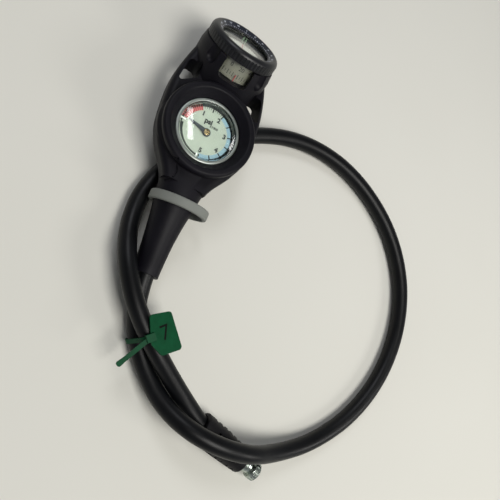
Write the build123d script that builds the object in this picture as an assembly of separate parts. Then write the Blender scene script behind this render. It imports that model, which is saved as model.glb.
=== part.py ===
from build123d import *
from math import asin, atan2, cos, degrees, hypot, pi, radians, sin, sqrt, tan
import os

# Two-gauge dive console: a rubber boot with a pressure gauge and a tilted compass, and its hose.
# X runs across the console, Y along it towards the compass, Z up. All sizes are in millimetres.
# The origin is on the table, under the middle of the console.

# Where the two instruments sit
gauge_y = 6.6
stem_z = 24.0
compass_y = 82.2
compass_z = 49.7
compass_tilt = 37.4

# Gauge ring, lens and case
ring_radius = 25.0
ring_top = 39.5
ring_height = 2.6
ring_lip = 1.0
ring_opening = 22.4
lens_radius = 23.2
lens_thickness = 1.8
gasket_height = 0.6
gasket_width = 1.0
seat_clearance = 0.1
case_height = 20.4
case_floor = 1.8
case_seat_radius = 22.2
case_inner_radius = 20.9
case_seat_drop = 4.6

# Dial and needle
spacer_height = 1.0
spacer_inner_radius = 17.6
dial_radius = 22.0
dial_thickness = 0.7
dial_cut_radius = 18.2
dial_hole_radius = 1.5
needle_length = 16.0
needle_root_width = 4.4
needle_tip_width = 0.5
needle_thickness = 0.5
needle_lift = 0.9
needle_hub_radius = 3.2
needle_hub_height = 1.1
hub_cap_radius = 2.4
hub_cap_height = 0.9
needle_rest_angle = 168.0
stop_pin_radius = 0.4
stop_pin_distance = 11.5
stop_pin_gap = 0.12

# Movement between its two plates
gear_module = 0.35
pinion_teeth = 8
sector_ratio = 7
sector_teeth = 8
sector_first_angle = 138.0
tooth_share = 0.40
gear_clearance = 0.12
plate_thickness = 1.0
plate_gap = 7.0
plate_length = 22.0
plate_width = 14.4
plate_offset = 5.0
plate_corner = 3.0
pillar_radius = 1.1
pillar_places = [(-4.6, 5.0), (-4.6, -5.0), (9.5, -5.6), (10.5, 5.6)]
arbor_radius = 0.75
sector_arbor_radius = 0.8
bearing_clearance = 0.05
arbor_end_gap = 0.2
pinion_lift = 2.7
pinion_length = 3.6
sector_lift = 3.9
sector_thickness = 1.2
tail_length = 4.0
tail_angle = -19.0
tail_pin_radius = 0.5
link_thickness = 0.5
link_lift = 0.3
link_width = 1.8
link_length = 6.8

# Bourdon tube and its socket
tube_radius = 18.4
tube_thickness = 2.0
tube_height = 4.6
tube_lift = 0.9
tube_end_angle = 16.0
tube_corner = 0.8
tip_lug_width = 2.6
tip_lug_reach = 3.4
tip_lug_thickness = 0.6
socket_width = 9.0
socket_depth = 7.0
socket_height = 9.0
stem_radius = 5.2
stem_length = 18.0
stem_bore = 2.5
spring_inner_radius = 1.35
spring_end_gap = 0.05
collet_gap = 0.1
spring_turns = 3.5
spring_thickness = 0.16
spring_height = 0.8
spring_lift = 0.6
relief_plug_radius = 2.5
relief_plug_place = (-8.0, 13.0)

# Hose hardware at the gauge
nut_across_flats = 15.0
nut_length = 12.4
nut_start = 25.0
spool_radius = 2.4
spool_length = 13.0
spool_reach = 2.4
spool_groove_depth = 0.8
spool_grooves = (2.5, 5.2)
ring_cord_radius = 0.42
ferrule_wall = 1.2
ferrule_length = 13.0
ferrule_end_wall = 2.5
hose_radius = 6.8

# Boot: gauge cup with its raised lip
cup_radius = 36.8
cup_floor = 2.5
cup_bottom_round = 9.0
cup_shoulder_z = 34.5
groove_z = 38.2
groove_step = 1.6
lip_wall = 5.0
lip_height = 6.6
lip_mouth_radius = 30.6

# Boot: web with the side bars, and the two slots
web_bottom = 19.0
web_top = 37.0
web_round = 5.0
flank = [(17.2, -37.5), (21.4, -29.0), (28.8, -18.0), (34.6, -4.5), (37.4, 14.5), (37.8, 30.5), (35.0, 50.5), (29.4, 70.5)]
slot_corners = [(34.4, 31.4), (31.6, 52.6), (22.6, 52.4), (20.8, 41.4)]
slot_rounds = [1.6, 3.6, 4.0, 2.0]

# Boot: compass pod
pod_radius = 30.4
pod_depth = 42.6
pod_round = 3.0
collar_radius = 29.2
collar_gap = 0.6
window_width = 23.6
window_depth = 24.4
window_round = 3.0
scoop_radius = 5.0
scoop_distance = 31.6
scoop_angle = 43.0
scoop_depth = 17.0

# Boot: neck, as sections of x, y, z, half width and half height
neck_sections = [
    (0.0, -6.0, 26.6, 32.0, 11.6),
    (0.0, -17.0, 26.4, 27.6, 12.4),
    (0.0, -27.0, 25.4, 21.6, 12.8),
    (0.0, -37.0, 24.8, 17.3, 12.8),
    (0.0, -47.0, 24.2, 15.6, 12.7),
    (0.0, -57.0, 22.8, 14.0, 12.3),
    (0.2, -66.5, 20.9, 12.6, 11.7),
    (0.6, -76.0, 18.5, 11.5, 11.1),
    (1.2, -85.5, 16.0, 10.7, 10.6),
    (1.9, -95.0, 13.2, 10.2, 10.2),
    (2.5, -103.8, 11.1, 9.9, 9.9),
]
neck_clearance = 0.3
eyelet_place = (-16.8, -32.4)
eyelet_reach = (6.8, 7.6)
eyelet_groove = 0.7
eyelet_span = (-70.0, 112.0)
eyelet_stations = 9

# Retaining band on the neck
band_inner_radius = 19.9
band_wall = 2.8
band_width = 7.0
band_round = 1.2
band_centre = (4.0, -49.4, 23.3)
band_slope = 8.0

# Compass, measured down from the bezel's face along its own axis
bezel_radius = 28.75
bezel_height = 9.0
bezel_shoulder = 4.0
bezel_land = 4.6
bezel_opening = 19.8
bezel_face_drop = 2.6
bezel_lip = 0.8
bezel_ribs = 60
rib_depth = 0.7
rib_top = 2.6
capsule_radius = 25.3
capsule_wall = 1.3
capsule_gap = 0.15
capsule_top = 4.4
capsule_bottom = 25.4
base_bottom = 31.6
base_end_radius = 17.6
base_flange = 1.4
base_spigot = 1.0
snap_ring_depth = 8.0
snap_ring_size = 0.8
card_depth = 10.0
card_rim = 3.6
card_skirt = 13.6
card_clearance = 0.6
card_wall = 0.5
magnet_radius = 8.0
magnet_bore = 4.0
magnet_height = 2.2
pivot_radius = 0.55
jewel_radius = 1.8
jewel_bore = 0.9
jewel_height = 2.6
filler_radius = 2.0
filler_offset = 9.0

# Hose protector and end fitting, from the protector's mouth along its axis
protector_mouth = (82.0, -191.5, 12.1)
fitting_tip = (140.4, -212.6, 10.0)
protector_length = 46.8
protector_mouth_radius = 11.4
protector_end_radius = 9.6
protector_bore = 8.35
protector_wall = 3.0
protector_slot_width = 2.2
protector_slot_rows = 6
protector_slot_pitch = 5.6
protector_slot_start = 10.6
protector_slots_per_row = 4
fitting_shank_radius = 5.8
fitting_collar_radius = 7.3
fitting_collar_length = 6.4
flute_count = 15
flute_radius = 0.8
flute_offset = 0.2
thread_hole_radius = 4.95
thread_hole_depth = 6.0
fitting_seal_radius = 3.4
fitting_seal_cord = 0.9
fitting_neck_wall = 0.9
far_ferrule_start = 15.0
far_hose_depth = 29.0
far_turn_depth = 4.0

# Marker tie round the two hose strands
tie_centre = (16.95, -145.5, 15.8)
tie_direction = -50.9
tie_lean = 21.2
tie_strand_gap = 15.1
tie_strap_width = 3.2
tie_strap_thickness = 1.0
tie_strap_gap = 0.6
tie_head_size = (5.4, 6.4, 3.6)
tie_head_shift = -4.2
flag_corners = [(-15.0, 3.6), (-12.4, 20.0), (15.6, 20.0), (14.3, 3.4), (4.2, -1.6)]
flag_thickness = 1.1
flag_round = 2.5
flag_slope = 12.0
tail_reach = 28.0
tail_direction = -69.0
tail_drop = 8.0

# Hose route from the gauge to the end fitting; its last two points lie on the fitting's axis
route = [
    (0, -40, 24), (0, -62, 24), (0.8, -84, 17.6), (2.6, -105, 10.4), (5.8, -126, 7.6),
    (13, -145, 8.7), (26.5, -164.5, 9.2), (47.5, -185.5, 15.5), (75, -197.5, 30.6), (114, -200.5, 32.2),
    (150, -195, 14.5), (187, -179, 6.8), (219.5, -147, 6.8), (240.5, -104, 6.8), (245.5, -56, 6.8),
    (233, -10, 6.8), (199.5, 31, 6.8), (145, 58.5, 6.8), (88, 60, 6.8), (37, 37, 6.8),
    (-3, -3, 6.8), (-21.5, -41, 6.8), (-22.2, -72, 8.2), (-16.2, -98, 19.2), (-3, -121, 22.6),
    (11, -137, 23.0), (27, -150.4, 22.6), (47, -164.6, 18), (67, -179.2, 13.0),
]

# Levels and radii that follow from the sizes above
case_top = ring_top - ring_height
case_bottom = case_top - case_height
floor_top = case_bottom + case_floor
lens_top = ring_top - ring_lip
lens_bottom = lens_top - lens_thickness
lens_ledge = lens_bottom - gasket_height
case_ledge = case_top - case_seat_drop
dial_bottom = case_ledge + spacer_height
dial_top = dial_bottom + dial_thickness
needle_bottom = dial_top + needle_lift
hub_bottom = needle_bottom - 0.4
hub_top = hub_bottom + needle_hub_height
back_plate_top = floor_top + plate_thickness
front_plate_bottom = back_plate_top + plate_gap
pinion_radius = gear_module * pinion_teeth / 2
sector_radius = pinion_radius * sector_ratio
sector_x = pinion_radius + sector_radius
sector_bottom = back_plate_top + sector_lift
sector_top = sector_bottom + sector_thickness
tube_bottom = floor_top + tube_lift
tube_start_angle = 270 - degrees(asin((socket_width / 2 + 0.02) / (tube_radius - tube_thickness / 2)))
link_bottom = sector_top + link_lift
nut_end = nut_start + nut_length
spool_start = nut_end + spool_reach - spool_length
ferrule_radius = hose_radius + ferrule_wall
hose_start = -route[0][1]
ferrule_start = hose_start - ferrule_end_wall
cup_bottom = case_bottom - cup_floor
lip_radius = lip_mouth_radius + lip_wall
groove_radius = lip_radius - groove_step
card_radius = capsule_radius - capsule_wall - card_clearance

gauge_axis = Location((0, gauge_y, 0))
compass_axis = Plane(
    origin=(0, compass_y, compass_z), x_dir=(1, 0, 0),
    z_dir=(0, sin(radians(compass_tilt)), cos(radians(compass_tilt))),
)
fitting_axis = Vector(*fitting_tip) - Vector(*protector_mouth)
fitting_length = fitting_axis.length
fitting_axis = fitting_axis.normalized()
fitting_plane = Plane(
    origin=protector_mouth, x_dir=fitting_axis.cross(Vector(0, 0, 1)).normalized(), z_dir=fitting_axis,
)


def profile(*corners):
    """A closed outline from (x, y) or (x, y, rounding) corners."""
    full = [(*corner, 0)[:3] for corner in corners]
    return make_face(FilletPolyline(
        *[(x, y) for x, y, _ in full], radius=[rounding for *_, rounding in full], close=True,
    ))


def turned(*corners):
    """A solid turned about Z from a closed (radius, height) outline."""
    return revolve(Plane.XZ * profile(*corners), Axis.Z)


def tube(outer, inner, bottom, top):
    """A plain ring or sleeve about Z."""
    return turned((inner, bottom), (outer, bottom), (outer, top), (inner, top))


def disc(radius, bottom, top):
    """A plain disc or rod about Z."""
    return Pos(0, 0, bottom) * Cylinder(radius, top - bottom, align=(Align.CENTER, Align.CENTER, Align.MIN))


def rod_y(radius, start, end, height, x=0.0):
    """A rod along -Y from y = -start to y = -end at the given height."""
    return Pos(x, -start, height) * Rot(90, 0, 0) * disc(radius, 0, end - start)


def hose_route():
    """The hose's points, ending inside the far ferrule on the fitting's axis."""
    mouth = Vector(*protector_mouth)
    on_axis = [mouth + fitting_axis * depth for depth in (far_turn_depth, far_hose_depth)]
    return [Vector(*point) for point in route] + on_axis


def route_radii(points):
    """The arc radius at each inner point: as large as its two runs allow."""
    radii = []
    for before, here, after in zip(points, points[1:], points[2:]):
        turn = (here - before).get_angle(after - here)
        shorter = min((here - before).length, (after - here).length)
        radii.append(0.45 * shorter / tan(radians(turn) / 2))
    return radii


def hose_path(points):
    """Straight runs joined by tangent arcs."""
    return FilletPolyline(*points, radius=route_radii(points))


def hose_tube(path, radius):
    """A round solid along the path."""
    start = Plane(origin=path @ 0, z_dir=path % 0)
    return sweep(start * Circle(radius), path=path)


def high_pressure_hose():
    points = hose_route()
    path = hose_path(points)
    solid = hose_tube(path, hose_radius)
    print("hose radii", [round(radius) for radius in route_radii(points)])
    print("hose length", round(path.length, 1), "runs", round(sum((b - a).length for a, b in zip(points, points[1:])), 1))
    print("hose volume ratio", round(solid.volume / (pi * hose_radius ** 2 * path.length), 4))
    return solid


def boot_cup():
    """The round cup with its raised lip, still without the gauge's pocket."""
    return turned(
        (0, cup_bottom), (cup_radius - 1.2, cup_bottom, cup_bottom_round), (cup_radius, cup_shoulder_z, 2.5),
        (groove_radius, groove_z, 1.0), (lip_radius, groove_z + 3.0, 1.8),
        (lip_radius - 0.2, ring_top + lip_height, 2.4), (lip_mouth_radius, ring_top + lip_height, 1.8),
        (ring_radius + seat_clearance, ring_top + 0.5), (0, ring_top + 0.5),
    )


def boot_web():
    """The flat web between the cup and the pod, with its rounded side bars."""
    right = Spline(*flank)
    left = Spline(*[(-x, y) for x, y in flank])
    far = Line(right @ 1, left @ 1)
    near = Line(right @ 0, left @ 0)
    web = extrude(Pos(0, 0, web_bottom) * make_face([right, left, far, near]), web_top - web_bottom)
    sides = web.faces().filter_by(lambda face: abs(face.normal_at().Z) < 0.5 and abs(face.normal_at().Y) < 0.99)
    rims = [edge for edge in sides.edges() if abs((edge @ 0).Z - (edge @ 1).Z) < 1e-6]
    return fillet(rims, web_round)


def boot_neck():
    """The tapered neck: a smooth loft from the cup down to the hose's exit."""
    sections = []
    for x, y, z, half_width, half_height in neck_sections:
        plane = Plane(origin=(x, y, z), x_dir=(1, 0, 0), z_dir=(0, -1, 0))
        sections.append(plane * Ellipse(half_width, half_height))
    return loft(sections)


def boot_pod():
    """The compass pod, about the compass's own axis."""
    return compass_axis * turned(
        (0, -pod_depth), (pod_radius, -pod_depth, pod_round), (pod_radius, -17.0, 6.0),
        (collar_radius, -bezel_height - collar_gap, 1.0), (0, -bezel_height - collar_gap),
    )


def gauge_pocket():
    """The space that the gauge's case and stem fill."""
    top = ring_top + 0.5
    case_space = gauge_axis * disc(ring_radius + seat_clearance, case_bottom, top)
    nut_space = rod_y(9.0, 0, ferrule_start, stem_z)
    ferrule_space = rod_y(ferrule_radius + neck_clearance, ferrule_start - 1, ferrule_start + ferrule_length + 0.5, stem_z)
    points = hose_route()
    bore = hose_tube(hose_path(points[:6]), hose_radius + neck_clearance)
    return [case_space, nut_space, ferrule_space, bore]


def capsule_pocket():
    """The space that the compass capsule fills."""
    return compass_axis * turned(
        (0, -base_bottom - seat_clearance), (base_end_radius + seat_clearance, -base_bottom - seat_clearance),
        (capsule_radius + seat_clearance, -capsule_bottom - base_flange - seat_clearance),
        (capsule_radius + seat_clearance, -bezel_height), (0, -bezel_height),
    )


def side_window():
    """The opening in the collar that faces the gauge, with rounded lower corners."""
    half = window_width / 2
    face = profile((-half, -window_depth, window_round), (half, -window_depth, window_round), (half, 0), (-half, 0))
    return compass_axis * Pos(0, -capsule_radius + 4.0, 0) * extrude(Plane.XZ * face, 16.0)


def collar_scoops():
    """Two finger scoops in the collar, one each side of the window."""
    scoops = []
    for side in (-90 - scoop_angle, -90 + scoop_angle):
        x = scoop_distance * cos(radians(side))
        y = scoop_distance * sin(radians(side))
        straight = disc(scoop_radius, -scoop_depth, 0)
        end = Pos(0, 0, -scoop_depth) * Sphere(scoop_radius)
        scoops.append(compass_axis * Pos(x, y, 0) * (straight + end))
    return scoops


def through_slots():
    """The two slots between the side bars and the pod."""
    slots = []
    for side in (1, -1):
        corners = [(side * x, y, rounding) for (x, y), rounding in zip(slot_corners, slot_rounds)]
        slots.append(extrude(profile(*corners), ring_top + 30))
    return slots


def eyelet_groove_on(solid):
    """The oval outline moulded into the left shoulder: a groove that follows the surface to the boot's edge."""
    first, last = eyelet_span
    points = []
    for station in range(eyelet_stations):
        angle = radians(first + (last - first) * station / (eyelet_stations - 1))
        x = eyelet_place[0] + eyelet_reach[0] * cos(angle)
        y = eyelet_place[1] + eyelet_reach[1] * sin(angle)
        hits = solid.find_intersection_points(Axis((x, y, ring_top + 30), (0, 0, -1)))
        points.append(max((point for point, _ in hits), key=lambda point: point.Z))
    path = Spline(*points)
    section = Plane(origin=path @ 0, z_dir=path % 0) * Circle(eyelet_groove)
    return sweep(section, path=path)


def console_boot():
    cup = gauge_axis * boot_cup()
    solid = cup + boot_web() + boot_neck() + boot_pod()
    below = Pos(0, 0, -20) * Box(200, 400, 40)
    solid = solid - below
    solid = solid - gauge_pocket() - capsule_pocket() - side_window()
    solid = solid - collar_scoops() - through_slots()
    return solid - eyelet_groove_on(solid)


def retaining_band():
    outer = band_inner_radius + band_wall
    half = band_width / 2
    ring = turned(
        (band_inner_radius, -half), (outer, -half, band_round), (outer, half, band_round), (band_inner_radius, half),
    )
    return Pos(*band_centre) * Rot(90 + band_slope, 0, 0) * ring


def gauge_case():
    shell = turned(
        (0, case_bottom), (ring_radius, case_bottom, 1.0), (ring_radius, case_top), (lens_radius + 0.2, case_top),
        (lens_radius + 0.2, lens_ledge), (case_seat_radius, lens_ledge), (case_seat_radius, case_ledge),
        (case_inner_radius, case_ledge), (case_inner_radius, floor_top), (0, floor_top),
    )
    stem_hole = rod_y(stem_radius, 15, 30, stem_z)
    plug_hole = Pos(*relief_plug_place, 0) * disc(relief_plug_radius, case_bottom, floor_top)
    return gauge_axis * (shell - stem_hole - plug_hole)


def relief_plug():
    body = disc(relief_plug_radius, case_bottom + 0.2, floor_top)
    head = disc(relief_plug_radius + 0.8, floor_top, floor_top + 0.7)
    return gauge_axis * Pos(*relief_plug_place, 0) * (body + head)


def gauge_bezel_ring():
    return gauge_axis * turned(
        (lens_radius + seat_clearance, case_top), (ring_radius, case_top), (ring_radius, ring_top, 1.1),
        (ring_opening, ring_top, ring_lip * 0.6), (ring_opening, lens_top), (lens_radius + seat_clearance, lens_top),
    )


def gauge_lens():
    return gauge_axis * turned(
        (0, lens_bottom), (lens_radius, lens_bottom), (lens_radius, lens_top), (ring_opening - 0.4, lens_top),
        (ring_opening - 0.8, lens_top + 0.4), (0, lens_top + 0.4),
    )


def lens_gasket():
    return gauge_axis * tube(lens_radius, lens_radius - gasket_width, lens_ledge, lens_bottom)


def dial_spacer():
    return gauge_axis * tube(case_seat_radius - seat_clearance, spacer_inner_radius, case_ledge, dial_bottom)


def dial_plate():
    """Full radius from zero round to full scale, and cut back over the unused quarter."""
    plate = disc(dial_radius, dial_bottom, dial_top)
    quarter = Pos(0, 0, dial_bottom) * Box(
        2 * dial_radius, 2 * dial_radius, dial_thickness, align=(Align.MAX, Align.MAX, Align.MIN),
    )
    unused = Rot(0, 0, 3) * quarter & Rot(0, 0, -3) * quarter
    rim = unused - disc(dial_cut_radius, dial_bottom, dial_top)
    return gauge_axis * (plate - rim - disc(dial_hole_radius, dial_bottom, dial_top))


def needle():
    root = needle_root_width / 2
    tip = needle_tip_width / 2
    blade_outline = profile((0, -root), (needle_length, -tip), (needle_length, tip), (0, root))
    blade = extrude(Pos(0, 0, needle_bottom) * blade_outline, needle_thickness)
    hub = turned(
        (0, hub_bottom), (needle_hub_radius, hub_bottom), (needle_hub_radius, hub_top, 0.5), (0, hub_top),
    )
    bore = disc(arbor_radius, hub_bottom, hub_top - 0.4)
    return gauge_axis * (Rot(0, 0, needle_rest_angle) * blade + hub - bore)


def needle_hub_cap():
    return gauge_axis * turned(
        (0, hub_top), (hub_cap_radius, hub_top), (hub_cap_radius, hub_top + hub_cap_height, 0.8),
        (0, hub_top + hub_cap_height),
    )


def gear_tooth(pitch_radius, height):
    """One slim trapezoid tooth on +X, from just inside the root to the tip."""
    pitch = pi * gear_module
    root = pitch_radius - 1.2 * gear_module
    tip = pitch_radius + 0.8 * gear_module
    base_half = pitch * (tooth_share + 0.16) / 2
    tip_half = pitch * (tooth_share - 0.20) / 2
    outline = profile((root - 0.1, -base_half), (tip, -tip_half), (tip, tip_half), (root - 0.1, base_half))
    return extrude(outline, height)


def pinion_arbor():
    bottom = back_plate_top + pinion_lift
    arbor = disc(arbor_radius, floor_top + arbor_end_gap, hub_top - 0.4)
    body = disc(pinion_radius - 1.2 * gear_module + 0.05, bottom, bottom + pinion_length)
    collet = disc(
        spring_inner_radius - spring_thickness / 2 - collet_gap,
        back_plate_top + spring_lift, back_plate_top + spring_lift + spring_height,
    )
    solid = arbor + body + collet
    for place in range(pinion_teeth):
        angle = (place + 0.5) * 360 / pinion_teeth
        solid += Pos(0, 0, bottom) * Rot(0, 0, angle) * gear_tooth(pinion_radius, pinion_length)
    return gauge_axis * solid


def sector_gear():
    """Toothed sector, hub and tail in one plate, with the tail's pin."""
    step = 360 / (pinion_teeth * sector_ratio)
    first = 180 - step * round((180 - sector_first_angle) / step)
    count = round((180 - first) / step) + 2
    root = sector_radius - 1.2 * gear_module
    start, end = first - step, first + step * count
    arc = [(root * cos(radians(a)), root * sin(radians(a))) for a in (start, (start + end) / 2, end)]
    web = extrude(make_face([Line((0, 0), arc[0]), ThreePointArc(*arc), Line(arc[2], (0, 0))]), sector_thickness)
    hole_angle = radians((start + end) / 2)
    web -= Pos(5.6 * cos(hole_angle), 5.6 * sin(hole_angle), 0) * disc(1.7, 0, sector_thickness)
    solid = web + disc(2.2, 0, sector_thickness)
    for place in range(count):
        tooth = Rot(0, 0, first + step * place) * gear_tooth(sector_radius, sector_thickness)
        solid += tooth
    tail = SlotCenterToCenter(tail_length, 2.2)
    solid += Rot(0, 0, tail_angle) * Pos(tail_length / 2, 0, 0) * extrude(tail, sector_thickness)
    pin_height = sector_thickness + link_lift + link_thickness + 0.3
    solid += Rot(0, 0, tail_angle) * Pos(tail_length, 0, 0) * disc(tail_pin_radius, 0, pin_height)
    solid -= disc(sector_arbor_radius, 0, sector_thickness)
    return gauge_axis * Pos(sector_x, 0, sector_bottom) * solid


def sector_arbor():
    top = front_plate_bottom + plate_thickness
    return gauge_axis * Pos(sector_x, 0, 0) * disc(sector_arbor_radius, floor_top + arbor_end_gap, top)


def movement_plate(bottom):
    outline = Pos(plate_offset, 0, bottom) * RectangleRounded(plate_length, plate_width, plate_corner)
    plate = extrude(outline, plate_thickness)
    plate -= disc(arbor_radius + bearing_clearance, bottom, bottom + plate_thickness)
    plate -= Pos(sector_x, 0, 0) * disc(sector_arbor_radius + bearing_clearance, bottom, bottom + plate_thickness)
    return gauge_axis * plate


def movement_back_plate():
    return movement_plate(floor_top)


def movement_front_plate():
    return movement_plate(front_plate_bottom)


def movement_pillars():
    pillar = disc(pillar_radius, back_plate_top, front_plate_bottom)
    return gauge_axis * (Part() + [Pos(x, y, 0) * pillar for x, y in pillar_places])


def link():
    bar = SlotCenterToCenter(link_length, link_width)
    plate = extrude(Pos(link_length / 2, 0, 0) * bar, link_thickness)
    plate -= disc(tail_pin_radius + bearing_clearance, 0, link_thickness)
    plate -= Pos(link_length, 0, 0) * disc(tail_pin_radius, 0, link_thickness)
    pin_x = sector_x + tail_length * cos(radians(tail_angle))
    pin_y = tail_length * sin(radians(tail_angle))
    return gauge_axis * Pos(pin_x, pin_y, link_bottom) * Rot(0, 0, 88) * plate


def bourdon_tube():
    """A flattened tube bent round the movement, with a closed tip and its lug."""
    sweep_angle = tube_start_angle - tube_end_angle
    section = Pos(tube_radius, tube_bottom + tube_height / 2) * RectangleRounded(tube_thickness, tube_height, tube_corner)
    bore = Pos(tube_radius, tube_bottom + tube_height / 2) * RectangleRounded(
        tube_thickness - 0.8, tube_height - 0.8, tube_corner / 2,
    )
    wall = revolve(Plane.XZ * section, Axis.Z, sweep_angle) - revolve(Plane.XZ * bore, Axis.Z, sweep_angle - 4)
    body = Rot(0, 0, tube_start_angle) * mirror(wall, Plane.XZ)
    lug_outline = profile(
        (tube_radius - tip_lug_reach, -tip_lug_width / 2, 0.8), (tube_radius, -tip_lug_width / 2),
        (tube_radius, tip_lug_width / 2), (tube_radius - tip_lug_reach, tip_lug_width / 2, 0.8),
    )
    lug = Pos(0, 0, tube_bottom + tube_height - tip_lug_thickness) * extrude(lug_outline, tip_lug_thickness)
    pin = disc(tail_pin_radius, tube_bottom + tube_height, link_bottom - 0.3)
    lug += Pos(tube_radius - tip_lug_reach + tip_lug_width / 2, 0, 0) * pin
    return gauge_axis * (body + Rot(0, 0, tube_end_angle + 4) * lug)


def gauge_socket():
    """Block inside the case with the threaded stem that runs out through its wall."""
    far_y = -(case_inner_radius - 1.0)
    block = Pos(0, far_y, stem_z) * Box(
        socket_width, socket_depth, socket_height, align=(Align.CENTER, Align.MIN, Align.CENTER),
    )
    stem = rod_y(stem_radius, -far_y - 0.5, -far_y + stem_length - 0.5, stem_z)
    return gauge_axis * (block + stem - rod_y(stem_bore, 10, 60, stem_z))


def hairspring():
    """A flat spiral from the arbor's collet out to the first pillar."""
    pillar_x, pillar_y = pillar_places[0]
    outer_radius = hypot(pillar_x, pillar_y) - pillar_radius - spring_end_gap
    end_angle = atan2(pillar_y, pillar_x)
    rise = (outer_radius - spring_inner_radius) / spring_turns
    count = round(spring_turns * 12)

    def spiral(offset):
        points = []
        for place in range(count + 1):
            turn = spring_turns * place / count
            radius = spring_inner_radius + rise * turn + offset
            angle = end_angle - 2 * pi * (spring_turns - turn)
            points.append((radius * cos(angle), radius * sin(angle)))
        return Spline(*points)

    inner = spiral(-spring_thickness / 2)
    outer = spiral(spring_thickness / 2)
    face = make_face([inner, Line(inner @ 1, outer @ 1), outer, Line(outer @ 0, inner @ 0)])
    return gauge_axis * Pos(0, 0, back_plate_top + spring_lift) * extrude(face, spring_height)


def zero_stop_pin():
    """The pin on the dial that the needle rests against."""
    side = needle_rest_angle + degrees((needle_half_width(stop_pin_distance) + stop_pin_radius + stop_pin_gap)
                                       / stop_pin_distance)
    x = stop_pin_distance * cos(radians(side))
    y = stop_pin_distance * sin(radians(side))
    return gauge_axis * Pos(x, y, 0) * disc(stop_pin_radius, dial_top, needle_bottom + needle_thickness)


def needle_half_width(distance):
    share = distance / needle_length
    return (needle_root_width * (1 - share) + needle_tip_width * share) / 2


def swivel_spool():
    solid = rod_y(spool_radius, spool_start, spool_start + spool_length, stem_z)
    for place in (spool_start + groove for groove in spool_grooves):
        ring = rod_y(spool_radius + 1, place, place + 1.2, stem_z)
        solid -= ring - rod_y(spool_radius - spool_groove_depth, place, place + 1.2, stem_z)
    return solid - rod_y(0.7, spool_start - 1, spool_start + spool_length + 1, stem_z)


def spool_o_rings():
    ring = Rot(90, 0, 0) * Torus(stem_bore - 0.02 - ring_cord_radius, ring_cord_radius)
    return Part() + [Pos(0, -(spool_start + groove + 0.6), stem_z) * ring for groove in spool_grooves]


def hose_nut():
    across_corners = nut_across_flats / cos(pi / 6)
    hexagon = RegularPolygon(across_corners / 2, 6)
    body = Pos(0, -nut_start, stem_z) * Rot(90, 0, 0) * extrude(hexagon, nut_length)
    chamfer_cone = Pos(0, -nut_start, stem_z) * Rot(90, 0, 0) * turned(
        (0, 0), (across_corners / 2 - 0.9, 0), (across_corners / 2 + 0.1, 1.0),
        (across_corners / 2 + 0.1, nut_length - 1.0), (across_corners / 2 - 0.9, nut_length), (0, nut_length),
    )
    stem_end = -gauge_y + case_inner_radius - 1.0 + stem_length - 0.5
    stem_space = rod_y(stem_radius, nut_start - 1, stem_end, stem_z)
    bore = rod_y(stem_bore, nut_start, nut_end + 1, stem_z)
    return (body & chamfer_cone) - stem_space - bore


def crimped_ferrule(length, bore_depth):
    """A ferrule about Z: open at the top for the hose, with two crimped grooves."""
    end = length - bore_depth
    grooves = [length * 0.42, length * 0.70]
    outline = [(spool_radius + seat_clearance, 0), (ferrule_radius - 1.0, 0), (ferrule_radius, 1.0)]
    for place in grooves:
        outline += [(ferrule_radius, place - 1.2), (ferrule_radius - 0.4, place - 0.7)]
        outline += [(ferrule_radius - 0.4, place + 0.7), (ferrule_radius, place + 1.2)]
    outline += [(ferrule_radius, length), (hose_radius, length), (hose_radius, end)]
    outline += [(spool_radius + seat_clearance, end)]
    return turned(*outline)


def hose_ferrule():
    return Pos(0, -ferrule_start, stem_z) * Rot(90, 0, 0) * crimped_ferrule(
        ferrule_length, ferrule_length - ferrule_end_wall,
    )


def far_ferrule():
    length = far_hose_depth - far_ferrule_start + ferrule_end_wall
    base = far_ferrule_start + length
    return fitting_plane * Pos(0, 0, base) * Rot(180, 0, 0) * crimped_ferrule(length, length - ferrule_end_wall)


def protector_slot(distance, angle):
    """One slanting slot through the protector's wall."""
    slot = SlotOverall(11.0, protector_slot_width)
    cut = extrude(slot, protector_mouth_radius + 3)
    return Rot(0, 0, angle) * Pos(0, 0, distance) * Rot(0, 90, 0) * Rot(0, 0, 62) * cut


def hose_protector():
    """A loose tapered sleeve with rows of slanting slots."""
    body = turned(
        (protector_bore, 0, 0.6), (protector_mouth_radius, 0, 1.4), (protector_mouth_radius, 20.0, 30.0),
        (protector_end_radius, protector_length, 2.2), (fitting_shank_radius + seat_clearance, protector_length),
        (fitting_shank_radius + seat_clearance, protector_length - protector_wall),
        (protector_bore, protector_length - protector_wall),
    )
    for row in range(protector_slot_rows):
        for place in range(protector_slots_per_row):
            angle = 360 * place / protector_slots_per_row
            body -= protector_slot(protector_slot_start + protector_slot_pitch * row, angle)
    return fitting_plane * body


def hose_end_fitting():
    """Shank, shoulder and fluted collar, with a threaded socket in the end and the seal's seat under it."""
    start = far_hose_depth + ferrule_end_wall
    collar = fitting_length - fitting_collar_length
    thread_end = fitting_length - thread_hole_depth
    seal_end = thread_end - 2 * fitting_seal_cord
    seal_seat = fitting_seal_radius + fitting_seal_cord
    neck = seal_seat + fitting_neck_wall
    body = turned(
        (0.8, start), (fitting_shank_radius, start), (fitting_shank_radius, protector_length + 4.4, 1.0),
        (neck, collar - 0.8), (neck, collar),
        (fitting_collar_radius, collar, 0.6), (fitting_collar_radius, fitting_length, 1.2),
        (thread_hole_radius, fitting_length), (thread_hole_radius, thread_end), (seal_seat, thread_end),
        (seal_seat, seal_end), (0.8, seal_end),
    )
    for place in range(flute_count):
        angle = 360 * place / flute_count
        groove = disc(flute_radius, collar + 1.4, fitting_length + 1)
        body -= Rot(0, 0, angle) * Pos(fitting_collar_radius + flute_offset, 0, 0) * groove
    return fitting_plane * body


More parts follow.
